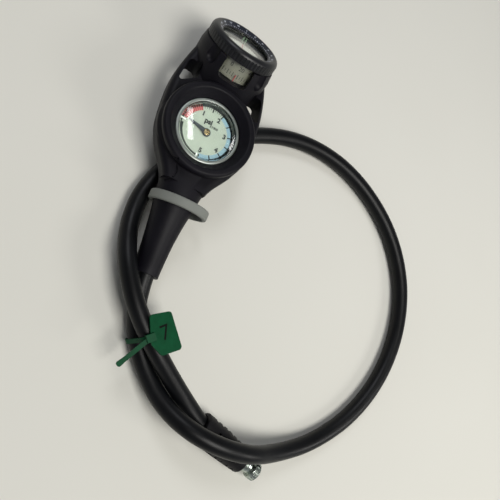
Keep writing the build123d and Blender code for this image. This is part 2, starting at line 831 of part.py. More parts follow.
def fitting_seal():
    ring = Torus(fitting_seal_radius, fitting_seal_cord)
    return fitting_plane * Pos(0, 0, fitting_length - thread_hole_depth - fitting_seal_cord) * ring


def compass_bezel():
    """The turning bezel: ribbed edge, rounded shoulder and sloping scale ring."""
    groove_low = -snap_ring_depth - snap_ring_size / 2 - 0.2
    groove_high = -snap_ring_depth + snap_ring_size / 2 + 0.2
    inner = capsule_radius + 0.08
    ring = turned(
        (inner, -bezel_height), (bezel_radius, -bezel_height, 0.6), (bezel_radius, 0, bezel_shoulder),
        (bezel_radius - bezel_land, 0, 0.8), (bezel_opening, -bezel_face_drop, 0.4),
        (bezel_opening, -bezel_face_drop - bezel_lip), (inner - 1.6, -capsule_top + capsule_gap),
        (inner, -capsule_top + capsule_gap),
        (inner, groove_high), (inner + 0.8, groove_high), (inner + 0.8, groove_low), (inner, groove_low),
    )
    pitch = 2 * pi * bezel_radius / bezel_ribs
    cutter = profile((bezel_radius - rib_depth, 0), (bezel_radius + 0.3, -pitch * 0.42), (bezel_radius + 0.3, pitch * 0.42))
    groove = Pos(0, 0, -bezel_height) * extrude(cutter, bezel_height - rib_top)
    grooves = [Rot(0, 0, 360 * place / bezel_ribs) * groove for place in range(bezel_ribs)]
    return compass_axis * (ring - grooves)


def compass_capsule():
    """The clear capsule: an inverted cup."""
    groove_low = -snap_ring_depth - snap_ring_size / 2 - 0.05
    groove_high = -snap_ring_depth + snap_ring_size / 2 + 0.05
    top = -capsule_top
    inner = capsule_radius - capsule_wall
    return compass_axis * turned(
        (0, top), (capsule_radius, top, 0.6), (capsule_radius, groove_high), (capsule_radius - 0.4, groove_high),
        (capsule_radius - 0.4, groove_low), (capsule_radius, groove_low), (capsule_radius, -capsule_bottom),
        (inner, -capsule_bottom), (inner, top - capsule_wall, 1.0), (0, top - capsule_wall),
    )


def bezel_snap_ring():
    low = -snap_ring_depth - snap_ring_size / 2
    high = -snap_ring_depth + snap_ring_size / 2
    return compass_axis * tube(capsule_radius + 0.65, capsule_radius - 0.35, low, high)


def capsule_base():
    """The opaque lower half of the capsule, with the pivot's boss."""
    inner = capsule_radius - capsule_wall
    shell = turned(
        (0, -base_bottom), (base_end_radius, -base_bottom, 1.5), (capsule_radius, -capsule_bottom - base_flange),
        (capsule_radius, -capsule_bottom), (inner, -capsule_bottom), (inner, -capsule_bottom + base_spigot),
        (inner - 1.2, -capsule_bottom + base_spigot), (inner - 1.2, -capsule_bottom - 0.8),
        (base_end_radius - 1.6, -base_bottom + 1.6), (2.4, -base_bottom + 1.6), (2.0, -base_bottom + 4.0),
        (0, -base_bottom + 4.0),
    )
    pin_hole = disc(pivot_radius, -base_bottom + 1.6, -base_bottom + 5)
    filler_hole = Pos(filler_offset, 0, 0) * disc(filler_radius, -base_bottom, -base_bottom + 3)
    return compass_axis * (shell - pin_hole - filler_hole)


def filler_plug():
    return compass_axis * Pos(filler_offset, 0, 0) * disc(filler_radius, -base_bottom + 0.1, -base_bottom + 2.0)


def pivot_pin():
    tip = -card_depth - 0.9
    return compass_axis * turned(
        (0, -base_bottom + 1.6), (pivot_radius, -base_bottom + 1.6), (pivot_radius, tip - 1.2), (0, tip),
    )


def compass_card():
    """The card: a drum with its floor part-way down, read on its floor and through the side window."""
    inner = card_radius - card_wall
    rim = -card_depth + card_rim
    low = -card_depth - card_skirt
    return compass_axis * turned(
        (jewel_bore, -card_depth), (inner, -card_depth), (inner, rim), (card_radius, rim), (card_radius, low),
        (inner, low), (inner, -card_depth - card_wall), (jewel_bore, -card_depth - card_wall),
    )


def card_magnet():
    top = -card_depth - card_wall
    return compass_axis * tube(magnet_radius, magnet_bore, top - magnet_height, top)


def jewel_cup():
    top = -card_depth
    return compass_axis * turned(
        (0, top), (jewel_bore, top), (jewel_bore, top - card_wall), (jewel_radius, top - card_wall),
        (jewel_radius, top - jewel_height), (jewel_bore, top - jewel_height), (jewel_bore, top - 1.4), (0, top - 0.7),
    )


def strap_loop():
    """The strap's closed loop round both strands, in the plane across them."""
    inner = hose_radius + tie_strap_gap
    outer = inner + tie_strap_thickness
    loop = SlotCenterToCenter(tie_strand_gap, 2 * outer) - SlotCenterToCenter(tie_strand_gap, 2 * inner)
    band = extrude(loop, tie_strap_width / 2, both=True)
    return Rot(-tie_lean, 0, 0) * Rot(0, 90, 0) * band


def marker_flag():
    """The flat flag beside the head, with rounded corners and one cut corner."""
    outline = profile(*[(x, y, flag_round) for x, y in flag_corners])
    return Rot(-flag_slope, 0, 0) * extrude(outline, flag_thickness)


def tie_tail():
    """The strap's free end past the head, a little wider at its tip."""
    half = tie_strap_width / 2
    outline = profile(
        (0, -half), (tail_reach - 6, -half), (tail_reach, -half - 0.5, 1.6), (tail_reach, half + 0.5, 1.6),
        (tail_reach - 6, half), (0, half),
    )
    return Rot(0, 0, tail_direction) * Rot(0, tail_drop, 0) * extrude(outline, tie_strap_thickness)


def marker_tie():
    """Loop, head, flag and tail; X runs along the hose and Y across it."""
    lean = radians(tie_lean)
    reach = tie_strand_gap / 2 + hose_radius + tie_strap_gap
    head_y = reach * sin(lean) + tie_head_shift
    head_z = reach * cos(lean)
    head = Box(*tie_head_size, align=(Align.CENTER, Align.CENTER, Align.MIN))
    top = Pos(0, head_y, head_z)
    solid = strap_loop() + top * (head + Pos(0, 0, 1.6) * marker_flag() + Pos(0, 0, 1.2) * tie_tail())
    return Pos(*tie_centre) * Rot(0, 0, tie_direction) * solid


pieces = [
    console_boot, retaining_band, gauge_case, gauge_bezel_ring, gauge_lens, lens_gasket, relief_plug, dial_spacer,
    dial_plate, zero_stop_pin, needle, needle_hub_cap, pinion_arbor, hairspring, sector_gear, sector_arbor,
    link, bourdon_tube, gauge_socket, movement_back_plate, movement_front_plate, movement_pillars,
    swivel_spool, spool_o_rings, hose_nut, hose_ferrule, high_pressure_hose, hose_protector, far_ferrule,
    hose_end_fitting, fitting_seal, compass_bezel, bezel_snap_ring, compass_capsule, capsule_base, filler_plug,
    pivot_pin, compass_card, card_magnet, jewel_cup, marker_tie,
]

os.makedirs("parts", exist_ok=True)
for piece in pieces:
    export_step(piece(), f"parts/{piece.__name__}.step")
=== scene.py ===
import logging
import math
from dataclasses import dataclass, field
from enum import Enum
from typing import Any, Iterable, Sequence

import bpy
from mathutils import Matrix, Vector


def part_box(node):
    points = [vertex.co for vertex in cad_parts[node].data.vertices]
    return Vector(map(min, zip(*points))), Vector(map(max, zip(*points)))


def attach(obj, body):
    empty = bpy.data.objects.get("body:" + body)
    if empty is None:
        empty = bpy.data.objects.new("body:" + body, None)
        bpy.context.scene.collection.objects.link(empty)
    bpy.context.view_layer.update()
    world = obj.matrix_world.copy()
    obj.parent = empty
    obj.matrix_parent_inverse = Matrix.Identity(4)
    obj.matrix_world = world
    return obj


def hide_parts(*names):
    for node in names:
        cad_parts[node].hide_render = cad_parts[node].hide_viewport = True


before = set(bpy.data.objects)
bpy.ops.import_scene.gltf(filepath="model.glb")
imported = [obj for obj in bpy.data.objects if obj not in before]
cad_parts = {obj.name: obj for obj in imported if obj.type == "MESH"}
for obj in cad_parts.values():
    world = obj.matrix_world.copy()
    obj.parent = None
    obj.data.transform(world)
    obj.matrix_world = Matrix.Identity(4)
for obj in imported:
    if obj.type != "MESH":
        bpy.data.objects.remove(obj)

# Dressing for a two-gauge dive console. Sizes are in millimetres where a name ends in _mm, else in metres.
LOG = logging.getLogger("dive_console")
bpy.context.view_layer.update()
MM = 0.001
PER_METRE = 1000
FULL_TURN = 359.9  # degrees of a ring that is left open by a hair, so that its two ends stay apart
MIX_A, MIX_B, MIX_RESULT = 6, 7, 2  # a Mix node's colour sockets, which share their names with others
Place = tuple[float, float, float]
Shape = tuple[list[Vector], list[tuple[int, ...]]]


class Body(Enum):
    """The moving groups that the scene's pieces ride on."""

    CONSOLE = "console"
    BEZEL = "bezel"
    CARD = "card"


def linear(code: str) -> tuple[float, float, float, float]:
    """Turns an sRGB hex colour into linear values with full alpha.

    Args:
        code: A colour such as "#3a3b40".

    Returns:
        Red, green, blue and alpha in linear light, by the standard sRGB curve.
    """
    parts = [int(code[i:i + 2], 16) / 255 for i in (1, 3, 5)]
    red, green, blue = (p / 12.92 if p <= 0.04045 else ((p + 0.055) / 1.055) ** 2.4 for p in parts)
    return red, green, blue, 1.0


def add_node(tree: bpy.types.NodeTree, kind: str, settings: dict[Any, Any] | None = None,
             links: dict[Any, Any] | None = None) -> bpy.types.Node:
    """Adds one node, sets its sockets or properties and links its inputs.

    Args:
        tree: The node tree that takes the node.
        kind: The node's type name.
        settings: Socket name or index, or property name, to value.
        links: Socket name or index to the output socket that feeds it.

    Returns:
        The new node.
    """
    made = tree.nodes.new(kind)
    for key, value in (settings or {}).items():
        if isinstance(key, str) and hasattr(made, key):
            setattr(made, key, value)
        else:
            made.inputs[key].default_value = value
    for key, source in (links or {}).items():
        tree.links.new(source, made.inputs[key])
    return made


@dataclass(frozen=True)
class Finish:
    """What every finish has: a name, a colour and how it takes the light."""

    name: str
    colour: str
    roughness: float = 0.5
    ior: float = 1.5
    metallic: float = 0.0
    gloss: float = 0.5

    def start(self) -> tuple[bpy.types.Material, bpy.types.NodeTree, bpy.types.Node, bpy.types.Node]:
        """Makes the material with its shader and its object coordinates.

        Returns:
            The material, its tree, its shader and its coordinate node.
        """
        material = bpy.data.materials.new(self.name)
        material.use_nodes = True
        tree = material.node_tree
        tree.nodes.clear()
        shader = add_node(tree, "ShaderNodeBsdfPrincipled", {
            "Base Color": linear(self.colour), "Roughness": self.roughness, "IOR": self.ior,
            "Metallic": self.metallic, "Specular IOR Level": self.gloss,
        })
        add_node(tree, "ShaderNodeOutputMaterial", links={"Surface": shader.outputs[0]})
        place = add_node(tree, "ShaderNodeTexCoord")
        return material, tree, shader, place

    def build(self) -> bpy.types.Material:
        """Makes the finish as a material."""
        return self.start()[0]


@dataclass(frozen=True)
class Moulded(Finish):
    """What moulded finishes share: patches of a second colour, and the mould's fine spark-eroded grain."""

    patch_mm: float = 9.0
    patch_detail: float = 3.0
    patch_roughness: float = 0.5
    patch_from: tuple[float, float] = (0.3, 0.8)
    grain_mm: float = 0.5
    grain_detail: float = 2.0
    grain_strength: float = 0.3
    grain_depth_mm: float = 0.012

    def moulded(self, second: str, share: float) -> tuple[
            bpy.types.Material, bpy.types.NodeTree, bpy.types.Node, bpy.types.Node]:
        """Makes the material with its patches and its grain.

        Args:
            second: The patches' colour.
            share: How much of it the strongest patches have.

        Returns:
            The material, its tree, its shader and its patches' noise.
        """
        material, tree, shader, place = self.start()
        patches = add_node(tree, "ShaderNodeTexNoise", {
            "Scale": PER_METRE / self.patch_mm, "Detail": self.patch_detail,
            "Roughness": self.patch_roughness,
        }, {"Vector": place.outputs["Object"]})
        low, high = self.patch_from
        spread = add_node(tree, "ShaderNodeMapRange", {
            "From Min": low, "From Max": high, "To Max": share,
        }, {"Value": patches.outputs[0]})
        blend = add_node(tree, "ShaderNodeMix", {
            "data_type": "RGBA", MIX_A: linear(self.colour), MIX_B: linear(second),
        }, {0: spread.outputs[0]})
        tree.links.new(blend.outputs[MIX_RESULT], shader.inputs["Base Color"])
        grain = add_node(tree, "ShaderNodeTexNoise", {
            "Scale": PER_METRE / self.grain_mm, "Detail": self.grain_detail,
        }, {"Vector": place.outputs["Object"]})
        bump = add_node(tree, "ShaderNodeBump", {
            "Strength": self.grain_strength, "Distance": self.grain_depth_mm * MM,
        }, {"Height": grain.outputs[0]})
        tree.links.new(bump.outputs[0], shader.inputs["Normal"])
        return material, tree, shader, patches


@dataclass(frozen=True)
class MouldedRubber(Moulded):
    """Compression-moulded rubber: matt and faintly dusty, with patches that handling has polished."""

    bloom: str = "#6a6a70"
    bloom_share: float = 0.35
    wear: tuple[float, float] = (0.08, 0.1)
    patch_mm: float = 22.0
    patch_detail: float = 5.0
    patch_roughness: float = 0.6
    patch_from: tuple[float, float] = (0.38, 0.72)
    grain_mm: float = 0.45
    grain_strength: float = 0.35
    grain_depth_mm: float = 0.03
    gloss: float = 0.25

    def build(self) -> bpy.types.Material:
        """Makes the rubber with bloom, scuffs and grain."""
        material, tree, shader, patches = self.moulded(self.bloom, self.bloom_share)
        polish, scuff = self.wear
        wear = add_node(tree, "ShaderNodeMapRange", {
            "To Min": self.roughness - polish, "To Max": self.roughness + scuff,
        }, {"Value": patches.outputs[0]})
        tree.links.new(wear.outputs[0], shader.inputs["Roughness"])
        return material


@dataclass(frozen=True)
class PolishedMetal(Finish):
    """Turned metal, polished or plated: mirror-like, with faint handling haze."""

    metallic: float = 1.0
    haze_mm: float = 6.0
    haze: float = 0.08
    haze_detail: float = 4.0
    haze_from: tuple[float, float] = (0.35, 0.75)

    def build(self) -> bpy.types.Material:
        """Makes the metal with its patchy haze."""
        material, tree, shader, place = self.start()
        noise = add_node(tree, "ShaderNodeTexNoise", {
            "Scale": PER_METRE / self.haze_mm, "Detail": self.haze_detail,
        }, {"Vector": place.outputs["Object"]})
        low, high = self.haze_from
        spread = add_node(tree, "ShaderNodeMapRange", {
            "From Min": low, "From Max": high, "To Min": self.roughness, "To Max": self.roughness + self.haze,
        }, {"Value": noise.outputs[0]})
        tree.links.new(spread.outputs[0], shader.inputs["Roughness"])
        return material


@dataclass(frozen=True)
class ClearWindow(Finish):
    """Cast acrylic or polycarbonate: clear and glossy; lamps shine through it on to what lies under it."""

    roughness: float = 0.02
    ior: float = 1.49

    def build(self) -> bpy.types.Material:
        """Makes the clear plastic, open to shadow rays."""
        material, tree, shader, _ = self.start()
        shader.inputs["Transmission Weight"].default_value = 1.0
        output = next(n for n in tree.nodes if n.type == "OUTPUT_MATERIAL")
        path = add_node(tree, "ShaderNodeLightPath")
        clear = add_node(tree, "ShaderNodeBsdfTransparent", {"Color": linear(self.colour)})
        mixed = add_node(tree, "ShaderNodeMixShader", links={
            0: path.outputs["Is Shadow Ray"], 1: shader.outputs[0], 2: clear.outputs[0],
        })
        tree.links.new(mixed.outputs[0], output.inputs["Surface"])
        return material


@dataclass(frozen=True)
class MouldedPlastic(Moulded):
    """Injection-moulded plastic: even colour with a fine satin texture."""

    shade: str = "#808080"

    def build(self) -> bpy.types.Material:
        """Makes the plastic with its slight unevenness and grain."""
        return self.moulded(self.shade, 1.0)[0]


@dataclass(frozen=True)
class PrintedInk(MouldedPlastic):
    """Screen-printed ink: thin and even, with hardly any texture."""

    grain_depth_mm: float = 0.002


@dataclass
class FinishBook:
    """All the finishes of the console, made once and asked for by name."""

    finishes: Sequence[Finish] = (
        # Nitrile rubber, compression-moulded: charcoal with a faint violet cast and no clear highlights.
        MouldedRubber("boot_nitrile_rubber", "#0c0b11", 0.48, bloom="#1a1820", gloss=0.16),
        # A cut ring of grey natural rubber: chalky mid-grey.
        MouldedRubber("band_grey_rubber", "#787b76", 0.6, bloom="#868984", patch_mm=8.0),
        # Extruded hose cover, polished by handling: near black with a soft streak of light.
        MouldedRubber("hose_cover_rubber", "#07080a", 0.38, bloom="#101114", bloom_share=0.5,
                      grain_mm=0.7, gloss=0.22),
        # Moulded protector sleeve: a shade darker and duller than the hose.
        MouldedRubber("protector_rubber", "#0c0b0e", 0.48, bloom="#171619", gloss=0.2),
        # Nitrile seals: smooth and black.
        MouldedRubber("seal_nitrile", "#141416", 0.4, bloom="#202022"),
        # Chromium plate on brass: white metal whose colour holds a slight green painted reflection of the room.
        PolishedMetal("chromium_plate", "#b3bcb4", 0.2),
        # The gauge's ring: the same plate, with the same green painted reflection in its colour, over a brushed
        # turning, so it reads as an even light-grey line.
        PolishedMetal("satin_chromium_ring", "#a9b0aa", 0.36),
        # Turned brass with a light tarnish.
        PolishedMetal("turned_brass", "#b98f55", 0.26),
        # Drawn phosphor bronze.
        PolishedMetal("phosphor_bronze", "#a8754a", 0.3),
        # Turned stainless steel.
        PolishedMetal("turned_steel", "#b4b6b8", 0.24),
        # Ground magnet alloy: dull dark grey.
        PolishedMetal("magnet_alloy", "#6c6d70", 0.38),
        # Copper-plated needle cap, worn bright on top.
        PolishedMetal("needle_cap_copper", "#cbb389", 0.24),
        # Acrylic gauge lens: colourless.
        ClearWindow("lens_acrylic", "#f6faf8"),
        # Polycarbonate compass capsule: very faintly green.
        ClearWindow("capsule_polycarbonate", "#f5f6f2"),
        # Red pivot jewel: synthetic ruby.
        ClearWindow("jewel_ruby", "#c33a48", ior=1.76),
        # Screen-printed dial card with a pale luminous ground: chalky green-white.
        MouldedPlastic("dial_luminous_print", "#a2a89c", 0.5, shade="#9ba195", patch_mm=5.0,
                       grain_depth_mm=0.004),
        # Dark inner parts: bead-blasted and anodised, no shine. The same colour is also painted shade on the
        # dial's rim.
        MouldedPlastic("dark_anodised_and_rim_shade", "#25292a", 0.5, shade="#1e2223"),
        # Painted shade on the gauge case's wall round the dial: dull grey, between the dial's white and the
        # case's black, where the chrome wall lies in shade.
        MouldedPlastic("dial_wall_painted_shade", "#5f6461", 0.5, gloss=0.2, shade="#575c59"),
        # Needle enamel: matt blue-black.
        MouldedPlastic("needle_enamel", "#2c3136", 0.42, shade="#363b40", grain_depth_mm=0.003),
        # Glass-filled nylon bezel: satin charcoal.
        MouldedPlastic("bezel_nylon", "#101114", 0.36, gloss=0.4, shade="#18191d"),
        # Capsule base: the same nylon, smoother.
        MouldedPlastic("base_nylon", "#0e0f11", 0.45, gloss=0.25, shade="#151618"),
        # Compass card: white polyester print with a faint grey-green cast from the fluid.
        MouldedPlastic("card_polyester", "#cfd1cd", 0.45, shade="#c4c7c2", patch_mm=5.0,
                       grain_depth_mm=0.003),
        # The card's side: the same print, darkened with painted shade for the dark well of the boot, and seen
        # through the fluid.
        MouldedPlastic("card_skirt_print_in_painted_shade", "#77776d", 0.5, shade="#6c6c63", patch_mm=5.0,
                       grain_depth_mm=0.003),
        # Bezel ink: worn white, slightly blue.
        PrintedInk("ink_bezel", "#dde1ec", shade="#c3c8d6"),
        # Marker tie: moulded nylon, deep green with little gloss.
        MouldedPlastic("tie_green_nylon", "#013d22", 0.5, gloss=0.12, shade="#034a2b", patch_mm=6.0),
        # Printing inks: matt, thin and even.
        PrintedInk("ink_black", "#15181a", shade="#1b1f21"),
        PrintedInk("ink_marker", "#050706", gloss=0.1, shade="#080b09"),
        PrintedInk("ink_red", "#a03d40", shade="#ab4a4b"),
        PrintedInk("ink_light_red", "#c9908c", shade="#cf9c97"),
        PrintedInk("ink_blue", "#7b97a6", shade="#86a1af"),
        PrintedInk("ink_white", "#f2f3ef", shade="#e9ebe6"),
        PrintedInk("ink_pink", "#b56f70", shade="#bc7d7d"),
        PrintedInk("bezel_scale_print", "#10141f", 0.34, shade="#161c2b"),
        PrintedInk("luminous_green", "#8fae95", shade="#9cb9a1"),
        # Floor paper: matt and warm white, with a hardly visible tone.
        MouldedPlastic("floor_paper", "#dcdbd4", 0.9, gloss=0.1, shade="#d7d6ce", patch_mm=400.0,
                       grain_mm=2.0),
    )
    made: dict[str, bpy.types.Material] = field(default_factory=dict)

    def get(self, name: str) -> bpy.types.Material:
        """Gives a finish's material, making it at its first use.

        Args:
            name: The finish's name.

        Returns:
            The material.
        """
        if name not in self.made:
            self.made[name] = next(f for f in self.finishes if f.name == name).build()
        return self.made[name]


def new_piece(name: str, shapes: Iterable[Shape], material: bpy.types.Material, body: Body) -> bpy.types.Object:
    """Joins shapes into one piece that rides on a body.

    Args:
        name: The piece's name.
        shapes: Its shapes, each in its place.
        material: Its finish.
        body: The group that carries it.

    Returns:
        The new object.
    """
    points: list[Vector] = []
    faces: list[tuple[int, ...]] = []
    for some_points, some_faces in shapes:
        base = len(points)
        points.extend(some_points)
        faces.extend(tuple(base + i for i in face) for face in some_faces)
    mesh = bpy.data.meshes.new(name)
    mesh.from_pydata([tuple(p) for p in points], [], faces)
    mesh.update()
    mesh.materials.append(material)
    piece = bpy.data.objects.new(name, mesh)
    bpy.context.scene.collection.objects.link(piece)
    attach(piece, body.value)
    LOG.info("%s: %d faces, on %s", name, len(faces), body.value)
    return piece


def ring_band(inner: float, outer: float, low: float, high: float, start: float, end: float,
              place: Matrix, steps: int = 48) -> Shape:
    """A closed flat band round Z between two angles.

    Args:
        inner: Inner radius.
        outer: Outer radius.
        low: Lower level.
        high: Upper level.
        start: First angle in degrees.
        end: Last angle in degrees, larger than the first.
        place: Where the band goes.
        steps: Number of divisions.

    Returns:
        The band's points and faces.
    """
    points: list[Vector] = []
    for i in range(steps + 1):
        angle = math.radians(start + (end - start) * i / steps)
        for radius, level in ((inner, low), (outer, low), (outer, high), (inner, high)):
            points.append(place @ Vector((radius * math.cos(angle), radius * math.sin(angle), level)))
    faces: list[tuple[int, ...]] = []
    for i in range(steps):
        for k in range(4):
            a, b = 4 * i + k, 4 * i + (k + 1) % 4
            faces.append((a, b, b + 4, a + 4))
    last = 4 * steps
    faces += [(3, 2, 1, 0), (last, last + 1, last + 2, last + 3)]
    return points, faces


def lettering(text: str, size: float, depth: float, place: Matrix,
              weight: float = 0.0) -> Shape:
    """Centred text as a thin closed shape.

    Args:
        text: The characters.
        size: The font's size.
        depth: Half the thickness.
        place: Where the text's centre and plane go.
        weight: How much the strokes are thickened, as a share of the size.

    Returns:
        The text's points and faces.
    """
    curve = bpy.data.curves.new("lettering", "FONT")
    curve.body, curve.size, curve.extrude, curve.offset = text, size, depth, weight * size
    curve.align_x, curve.align_y, curve.resolution_u = "CENTER", "CENTER", 3
    holder = bpy.data.objects.new("lettering", curve)
    bpy.context.scene.collection.objects.link(holder)
    mesh = bpy.data.meshes.new_from_object(holder.evaluated_get(bpy.context.evaluated_depsgraph_get()))
    points = [place @ v.co for v in mesh.vertices]
    faces = [tuple(p.vertices) for p in mesh.polygons]
    bpy.data.objects.remove(holder)
    bpy.data.curves.remove(curve)
    bpy.data.meshes.remove(mesh)
    return points, faces


@dataclass
class MarkRing:
    """Marks repeated round a circle by Geometry Nodes."""

    count: int
    radius: float
    length: float
    width: float
    height: float
    start: float = 0.0
    step: float = 0.0
    lean: float = 0.0

    def tree(self, material: bpy.types.Material) -> bpy.types.NodeTree:
        """Builds the node group with named sizes as its inputs.

        Args:
            material: The marks' finish.

        Returns:
            The node group.
        """
        group = bpy.data.node_groups.new("ring_of_marks", "GeometryNodeTree")
        group.interface.new_socket("Geometry", in_out="OUTPUT", socket_type="NodeSocketGeometry")
        group.interface.new_socket("Count", in_out="INPUT", socket_type="NodeSocketInt")
        for name in ("Radius", "Length", "Width", "Height", "Start", "Step", "Lean"):
            group.interface.new_socket(name, in_out="INPUT", socket_type="NodeSocketFloat")
        given = add_node(group, "NodeGroupInput").outputs
        points = add_node(group, "GeometryNodePoints", links={"Count": given["Count"]})
        index = add_node(group, "GeometryNodeInputIndex")
        turned = add_node(group, "ShaderNodeMath", {"operation": "MULTIPLY_ADD"},
                          {0: index.outputs[0], 1: given["Step"], 2: given["Start"]})
        turn = add_node(group, "ShaderNodeCombineXYZ", links={"Z": turned.outputs[0]})
        leaning = add_node(group, "ShaderNodeCombineXYZ", links={"Y": given["Lean"], "Z": turned.outputs[0]})
        arm = add_node(group, "ShaderNodeCombineXYZ", links={"X": given["Radius"]})
        place = add_node(group, "ShaderNodeVectorRotate", {"rotation_type": "EULER_XYZ"},
                         {"Vector": arm.outputs[0], "Rotation": turn.outputs[0]})
        set_out = add_node(group, "GeometryNodeSetPosition",
                           links={"Geometry": points.outputs[0], "Position": place.outputs[0]})
        size = add_node(group, "ShaderNodeCombineXYZ",
                        links={"X": given["Length"], "Y": given["Width"], "Z": given["Height"]})
        mark = add_node(group, "GeometryNodeMeshCube", links={"Size": size.outputs[0]})
        placed = add_node(group, "GeometryNodeInstanceOnPoints", links={
            "Points": set_out.outputs[0], "Instance": mark.outputs[0], "Rotation": leaning.outputs[0],
        })
        real = add_node(group, "GeometryNodeRealizeInstances", links={"Geometry": placed.outputs[0]})
        dressed = add_node(group, "GeometryNodeSetMaterial", {"Material": material},
                           {"Geometry": real.outputs[0]})
        add_node(group, "NodeGroupOutput", links={0: dressed.outputs[0]})
        return group

    def make(self, material: bpy.types.Material, place: Matrix) -> Shape:
        """Evaluates the marks and puts them in their place.

        Args:
            material: The marks' finish.
            place: Where the circle's centre and plane go.

        Returns:
            The marks' points and faces.
        """
        holder = bpy.data.objects.new("marks", bpy.data.meshes.new("marks"))
        bpy.context.scene.collection.objects.link(holder)
        group = self.tree(material)
        modifier = holder.modifiers.new("marks", "NODES")
        modifier.node_group = group
        step = math.radians(self.step) if self.step else math.tau / self.count
        values = {"Count": self.count, "Radius": self.radius, "Length": self.length, "Width": self.width,
                  "Height": self.height, "Start": math.radians(self.start), "Step": step,
                  "Lean": math.radians(self.lean)}
        for item in group.interface.items_tree:
            if item.in_out == "INPUT":
                modifier[item.identifier] = values[item.name]
        mesh = bpy.data.meshes.new_from_object(holder.evaluated_get(bpy.context.evaluated_depsgraph_get()))
        points = [place @ v.co for v in mesh.vertices]
        faces = [tuple(p.vertices) for p in mesh.polygons]
        holder.modifiers.remove(modifier)
        bpy.data.objects.remove(holder)
        return points, faces


@dataclass
class StudioCamera:
    """The photograph's camera, looking down from the console's lower left."""

    place_mm: Place = (-79.2, -155.3, 368.0)
    right: Place = (0.8336, 0.3175, 0.4530)
    up: Place = (-0.3983, 0.9127, 0.0930)
    lens_mm: float = 36.0
    sensor_mm: float = 36.0
    shift: tuple[float, float] = (-0.0032, -0.0026)
    clip: tuple[float, float] = (0.01, 20.0)

    def build(self) -> None:
        """Makes the camera and hands it to the scene."""
        data = bpy.data.cameras.new("camera")
        data.lens, data.sensor_width, data.sensor_fit = self.lens_mm, self.sensor_mm, "HORIZONTAL"
        data.shift_x, data.shift_y = self.shift
        data.clip_start, data.clip_end = self.clip
        camera = bpy.data.objects.new("camera", data)
        bpy.context.scene.collection.objects.link(camera)
        right = Vector(self.right).normalized()
        up = Vector(self.up)
        up = (up - right * up.dot(right)).normalized()
        back = right.cross(up)
        matrix = Matrix((right, up, back)).transposed().to_4x4()
        matrix.translation = Vector(self.place_mm) * MM
        camera.matrix_world = matrix
        bpy.context.scene.camera = camera


@dataclass
class HoseRun:
    """The high-pressure hose: out of the neck, once round, and back to its end fitting."""

    diameter_mm: float = 13.6
    length: float = 1.05
    round_steps: int = 9
    along_steps: int = 14
    order: int = 3
    route_mm: Sequence[Place] = (
        (0, -40, 24), (0, -62, 24), (0.8, -84, 17.6), (2.6, -105, 10.4), (5.8, -126, 7.6),
        (13, -145, 8.7), (26.5, -164.5, 9.2), (47.5, -185.5, 15.5), (75, -197.5, 30.6), (114, -200.5, 32.2),
        (150, -195, 14.5), (187, -179, 6.8), (219.5, -147, 6.8), (240.5, -104, 6.8), (245.5, -56, 6.8),
        (233, -10, 6.8), (199.5, 31, 6.8), (145, 58.5, 6.8), (88, 60, 6.8), (37, 37, 6.8),
        (-3, -3, 6.8), (-21.5, -41, 6.8), (-22.2, -72, 8.2), (-16.2, -98, 19.2), (-3, -121, 22.6),
        (11, -137, 23.0), (26.4, -151.1, 22.6), (45.8, -165.8, 18), (66.4, -179.8, 13.0),
        (85.76, -192.86, 11.96), (109.26, -201.35, 11.12),
    )

    def build(self, finishes: FinishBook, on_hose: Sequence[bpy.types.Object]) -> None:
        """Args:
            finishes: The finish book.
            on_hose: The pieces that are on the hose; not used.
        """
        curve = bpy.data.curves.new("pressure_hose", "CURVE")
        curve.dimensions, curve.use_fill_caps = "3D", True
        curve.bevel_depth, curve.bevel_resolution = self.diameter_mm / 2 * MM, self.round_steps
        curve.resolution_u = curve.render_resolution_u = self.along_steps
        spline = curve.splines.new("NURBS")
        spline.points.add(len(self.route_mm) - 1)
        for point, (x, y, z) in zip(spline.points, self.route_mm):
            point.co = (x * MM, y * MM, z * MM, 1.0)
        spline.order_u = self.order
        spline.use_endpoint_u = True
        curve.materials.append(finishes.get("hose_cover_rubber"))
        hose = bpy.data.objects.new("pressure_hose", curve)
        bpy.context.scene.collection.objects.link(hose)
        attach(hose, Body.CONSOLE.value)
        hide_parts("high_pressure_hose")
        LOG.info("pressure_hose: %d route points", len(self.route_mm))


